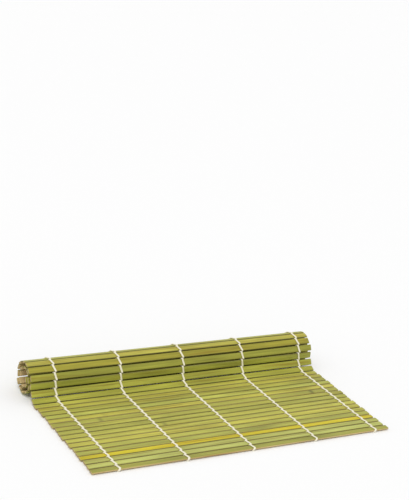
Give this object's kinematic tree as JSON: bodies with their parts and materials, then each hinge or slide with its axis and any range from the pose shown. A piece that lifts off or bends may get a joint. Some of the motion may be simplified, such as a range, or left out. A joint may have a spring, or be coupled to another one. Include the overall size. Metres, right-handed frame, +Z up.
{
  "type": "sushi rolling mat",
  "caption": "Bamboo sushi rolling mat of flat slats bound by doubled threads, its back half rolled up under the flat front half.",
  "frame": {"origin": "middle of the bounding box's bottom, on the table the mat lies on", "axes": "+X along the slats, to the right seen from the flat front edge; +Y from the front edge to the roll; +Z up"},
  "size_m": [0.24, 0.1344, 0.0263],
  "materials": {
    "bamboo": "satin split bamboo with its green skin on the upper face",
    "thread": "matt twisted cotton"
  },
  "bodies": {
    "slat_01": {"slat_01": "bamboo"},
    "slat_02": {"slat_02": "bamboo"},
    "slat_03": {"slat_03": "bamboo"},
    "slat_04": {"slat_04": "bamboo"},
    "slat_05": {"slat_05": "bamboo"},
    "slat_06": {"slat_06": "bamboo"},
    "slat_07": {"slat_07": "bamboo"},
    "slat_08": {"slat_08": "bamboo"},
    "slat_09": {"slat_09": "bamboo"},
    "slat_10": {"slat_10": "bamboo"},
    "slat_11": {"slat_11": "bamboo"},
    "slat_12": {"slat_12": "bamboo"},
    "slat_13": {"slat_13": "bamboo"},
    "slat_14": {"slat_14": "bamboo"},
    "slat_15": {"slat_15": "bamboo"},
    "slat_16": {"slat_16": "bamboo"},
    "slat_17": {"slat_17": "bamboo", "string_1": "thread", "string_2": "thread", "string_3": "thread", "string_4": "thread", "string_5": "thread"},
    "slat_18": {"slat_18": "bamboo"},
    "slat_19": {"slat_19": "bamboo"},
    "slat_20": {"slat_20": "bamboo"},
    "slat_21": {"slat_21": "bamboo"},
    "slat_22": {"slat_22": "bamboo"},
    "slat_23": {"slat_23": "bamboo"},
    "slat_24": {"slat_24": "bamboo"},
    "slat_25": {"slat_25": "bamboo"},
    "slat_26": {"slat_26": "bamboo"},
    "slat_27": {"slat_27": "bamboo"},
    "slat_28": {"slat_28": "bamboo"},
    "slat_29": {"slat_29": "bamboo"},
    "slat_30": {"slat_30": "bamboo"},
    "slat_31": {"slat_31": "bamboo"},
    "slat_32": {"slat_32": "bamboo"},
    "slat_33": {"slat_33": "bamboo"},
    "slat_34": {"slat_34": "bamboo"},
    "slat_35": {"slat_35": "bamboo"},
    "slat_36": {"slat_36": "bamboo"},
    "slat_37": {"slat_37": "bamboo"},
    "slat_38": {"slat_38": "bamboo"},
    "slat_39": {"slat_39": "bamboo"},
    "slat_40": {"slat_40": "bamboo"},
    "slat_41": {"slat_41": "bamboo", "tail_knots": "thread"}
  },
  "joints": [
    {"name": "roll_open", "type": "hinge", "parent": "slat_17", "child": "slat_18", "pos_m": [0, 0.03245, 0.00151], "axis": [1, 0, 0], "range_deg": [-25, 0], "deforming": ["string_1", "string_2", "string_3", "string_4", "string_5"]},
    {"name": "gap_18", "type": "hinge", "parent": "slat_18", "child": "slat_19", "pos_m": [0, 0.03775, 0.00398], "axis": [1, 0, 0], "range_deg": [-96, 24]},
    {"name": "gap_19", "type": "hinge", "parent": "slat_19", "child": "slat_20", "pos_m": [0, 0.04059, 0.0091], "axis": [1, 0, 0], "range_deg": [-87, 33]},
    {"name": "gap_20", "type": "hinge", "parent": "slat_20", "child": "slat_21", "pos_m": [0, 0.04079, 0.01495], "axis": [1, 0, 0], "range_deg": [-35.16, 84.84]},
    {"name": "gap_21", "type": "hinge", "parent": "slat_21", "child": "slat_22", "pos_m": [0, 0.04343, 0.02017], "axis": [1, 0, 0], "range_deg": [-34.64, 85.36]},
    {"name": "gap_22", "type": "hinge", "parent": "slat_22", "child": "slat_23", "pos_m": [0, 0.04806, 0.02375], "axis": [1, 0, 0], "range_deg": [-34.08, 85.92]},
    {"name": "gap_23", "type": "hinge", "parent": "slat_23", "child": "slat_24", "pos_m": [0, 0.05378, 0.02495], "axis": [1, 0, 0], "range_deg": [-33.48, 86.52]},
    {"name": "gap_24", "type": "hinge", "parent": "slat_24", "child": "slat_25", "pos_m": [0, 0.05944, 0.02348], "axis": [1, 0, 0], "range_deg": [-32.84, 87.16]},
    {"name": "gap_25", "type": "hinge", "parent": "slat_25", "child": "slat_26", "pos_m": [0, 0.0638, 0.01958], "axis": [1, 0, 0], "range_deg": [-32.15, 87.85]},
    {"name": "gap_26", "type": "hinge", "parent": "slat_26", "child": "slat_27", "pos_m": [0, 0.06583, 0.01409], "axis": [1, 0, 0], "range_deg": [-31.4, 88.6]},
    {"name": "gap_27", "type": "hinge", "parent": "slat_27", "child": "slat_28", "pos_m": [0, 0.06499, 0.0083], "axis": [1, 0, 0], "range_deg": [-30.6, 89.4]},
    {"name": "gap_28", "type": "hinge", "parent": "slat_28", "child": "slat_29", "pos_m": [0, 0.06142, 0.00367], "axis": [1, 0, 0], "range_deg": [-29.71, 90.28]},
    {"name": "gap_29", "type": "hinge", "parent": "slat_29", "child": "slat_30", "pos_m": [0, 0.056, 0.00147], "axis": [1, 0, 0], "range_deg": [-28.75, 91.25]},
    {"name": "gap_30", "type": "hinge", "parent": "slat_30", "child": "slat_31", "pos_m": [0, 0.05022, 0.00241], "axis": [1, 0, 0], "range_deg": [-27.68, 92.31]},
    {"name": "gap_31", "type": "hinge", "parent": "slat_31", "child": "slat_32", "pos_m": [0, 0.04584, 0.00628], "axis": [1, 0, 0], "range_deg": [-26.5, 93.5]},
    {"name": "gap_32", "type": "hinge", "parent": "slat_32", "child": "slat_33", "pos_m": [0, 0.04433, 0.01193], "axis": [1, 0, 0], "range_deg": [-25.18, 94.82]},
    {"name": "gap_33", "type": "hinge", "parent": "slat_33", "child": "slat_34", "pos_m": [0, 0.04631, 0.01744], "axis": [1, 0, 0], "range_deg": [-23.69, 96.31]},
    {"name": "gap_34", "type": "hinge", "parent": "slat_34", "child": "slat_35", "pos_m": [0, 0.05117, 0.0207], "axis": [1, 0, 0], "range_deg": [-21.99, 98.01]},
    {"name": "gap_35", "type": "hinge", "parent": "slat_35", "child": "slat_36", "pos_m": [0, 0.057, 0.02028], "axis": [1, 0, 0], "range_deg": [-20.03, 99.97]},
    {"name": "gap_36", "type": "hinge", "parent": "slat_36", "child": "slat_37", "pos_m": [0, 0.06121, 0.01621], "axis": [1, 0, 0], "range_deg": [-17.73, 102.28]},
    {"name": "gap_37", "type": "hinge", "parent": "slat_37", "child": "slat_38", "pos_m": [0, 0.06158, 0.01037], "axis": [1, 0, 0], "range_deg": [-14.97, 105.03]},
    {"name": "gap_38", "type": "hinge", "parent": "slat_38", "child": "slat_39", "pos_m": [0, 0.05771, 0.00598], "axis": [1, 0, 0], "range_deg": [-11.59, 108.41]},
    {"name": "gap_39", "type": "hinge", "parent": "slat_39", "child": "slat_40", "pos_m": [0, 0.05186, 0.00596], "axis": [1, 0, 0], "range_deg": [-7.31, 112.69]},
    {"name": "gap_40", "type": "hinge", "parent": "slat_40", "child": "slat_41", "pos_m": [0, 0.04829, 0.0106], "axis": [1, 0, 0], "range_deg": [-1.65, 118.35]},
    {"name": "front_curl", "type": "hinge", "parent": "slat_17", "child": "slat_16", "pos_m": [0, 0.0266, 0.00151], "axis": [-1, 0, 0], "range_deg": [0, 4]},
    {"name": "gap_15", "type": "hinge", "parent": "slat_16", "child": "slat_15", "pos_m": [0, 0.02075, 0.00151], "axis": [-1, 0, 0], "range_deg": [-60, 60]},
    {"name": "gap_14", "type": "hinge", "parent": "slat_15", "child": "slat_14", "pos_m": [0, 0.0149, 0.00151], "axis": [-1, 0, 0], "range_deg": [-60, 60]},
    {"name": "gap_13", "type": "hinge", "parent": "slat_14", "child": "slat_13", "pos_m": [0, 0.00905, 0.00151], "axis": [-1, 0, 0], "range_deg": [-60, 60]},
    {"name": "gap_12", "type": "hinge", "parent": "slat_13", "child": "slat_12", "pos_m": [0, 0.0032, 0.00151], "axis": [-1, 0, 0], "range_deg": [-60, 60]},
    {"name": "gap_11", "type": "hinge", "parent": "slat_12", "child": "slat_11", "pos_m": [0, -0.00265, 0.00151], "axis": [-1, 0, 0], "range_deg": [-60, 60]},
    {"name": "gap_10", "type": "hinge", "parent": "slat_11", "child": "slat_10", "pos_m": [0, -0.0085, 0.00151], "axis": [-1, 0, 0], "range_deg": [-60, 60]},
    {"name": "gap_09", "type": "hinge", "parent": "slat_10", "child": "slat_09", "pos_m": [0, -0.01435, 0.00151], "axis": [-1, 0, 0], "range_deg": [-60, 60]},
    {"name": "gap_08", "type": "hinge", "parent": "slat_09", "child": "slat_08", "pos_m": [0, -0.0202, 0.00151], "axis": [-1, 0, 0], "range_deg": [-60, 60]},
    {"name": "gap_07", "type": "hinge", "parent": "slat_08", "child": "slat_07", "pos_m": [0, -0.02605, 0.00151], "axis": [-1, 0, 0], "range_deg": [-60, 60]},
    {"name": "gap_06", "type": "hinge", "parent": "slat_07", "child": "slat_06", "pos_m": [0, -0.0319, 0.00151], "axis": [-1, 0, 0], "range_deg": [-60, 60]},
    {"name": "gap_05", "type": "hinge", "parent": "slat_06", "child": "slat_05", "pos_m": [0, -0.03775, 0.00151], "axis": [-1, 0, 0], "range_deg": [-60, 60]},
    {"name": "gap_04", "type": "hinge", "parent": "slat_05", "child": "slat_04", "pos_m": [0, -0.0436, 0.00151], "axis": [-1, 0, 0], "range_deg": [-60, 60]},
    {"name": "gap_03", "type": "hinge", "parent": "slat_04", "child": "slat_03", "pos_m": [0, -0.04945, 0.00151], "axis": [-1, 0, 0], "range_deg": [-60, 60]},
    {"name": "gap_02", "type": "hinge", "parent": "slat_03", "child": "slat_02", "pos_m": [0, -0.0553, 0.00151], "axis": [-1, 0, 0], "range_deg": [-60, 60]},
    {"name": "gap_01", "type": "hinge", "parent": "slat_02", "child": "slat_01", "pos_m": [0, -0.06115, 0.00151], "axis": [-1, 0, 0], "range_deg": [-60, 60]}
  ],
  "couplings": [
    {"joint": "gap_18", "follows": "roll_open", "ratio": 1.44},
    {"joint": "gap_19", "follows": "roll_open", "ratio": 1.08},
    {"joint": "gap_20", "follows": "roll_open", "ratio": -0.99356},
    {"joint": "gap_21", "follows": "roll_open", "ratio": -1.0145},
    {"joint": "gap_22", "follows": "roll_open", "ratio": -1.0369},
    {"joint": "gap_23", "follows": "roll_open", "ratio": -1.0608},
    {"joint": "gap_24", "follows": "roll_open", "ratio": -1.0864},
    {"joint": "gap_25", "follows": "roll_open", "ratio": -1.114},
    {"joint": "gap_26", "follows": "roll_open", "ratio": -1.1438},
    {"joint": "gap_27", "follows": "roll_open", "ratio": -1.1762},
    {"joint": "gap_28", "follows": "roll_open", "ratio": -1.2114},
    {"joint": "gap_29", "follows": "roll_open", "ratio": -1.25},
    {"joint": "gap_30", "follows": "roll_open", "ratio": -1.2926},
    {"joint": "gap_31", "follows": "roll_open", "ratio": -1.3398},
    {"joint": "gap_32", "follows": "roll_open", "ratio": -1.3926},
    {"joint": "gap_33", "follows": "roll_open", "ratio": -1.4523},
    {"joint": "gap_34", "follows": "roll_open", "ratio": -1.5203},
    {"joint": "gap_35", "follows": "roll_open", "ratio": -1.5988},
    {"joint": "gap_36", "follows": "roll_open", "ratio": -1.691},
    {"joint": "gap_37", "follows": "roll_open", "ratio": -1.8012},
    {"joint": "gap_38", "follows": "roll_open", "ratio": -1.9364},
    {"joint": "gap_39", "follows": "roll_open", "ratio": -2.1075},
    {"joint": "gap_40", "follows": "roll_open", "ratio": -2.3341},
    {"joint": "gap_15", "follows": "front_curl", "ratio": 2},
    {"joint": "gap_14", "follows": "front_curl", "ratio": 3},
    {"joint": "gap_13", "follows": "front_curl", "ratio": 4},
    {"joint": "gap_12", "follows": "front_curl", "ratio": 5},
    {"joint": "gap_11", "follows": "front_curl", "ratio": 6},
    {"joint": "gap_10", "follows": "front_curl", "ratio": 6},
    {"joint": "gap_09", "follows": "front_curl", "ratio": 6},
    {"joint": "gap_08", "follows": "front_curl", "ratio": 6},
    {"joint": "gap_07", "follows": "front_curl", "ratio": 6},
    {"joint": "gap_06", "follows": "front_curl", "ratio": 6},
    {"joint": "gap_05", "follows": "front_curl", "ratio": 6},
    {"joint": "gap_04", "follows": "front_curl", "ratio": 6},
    {"joint": "gap_03", "follows": "front_curl", "ratio": 6},
    {"joint": "gap_02", "follows": "front_curl", "ratio": 6},
    {"joint": "gap_01", "follows": "front_curl", "ratio": 6}
  ]
}
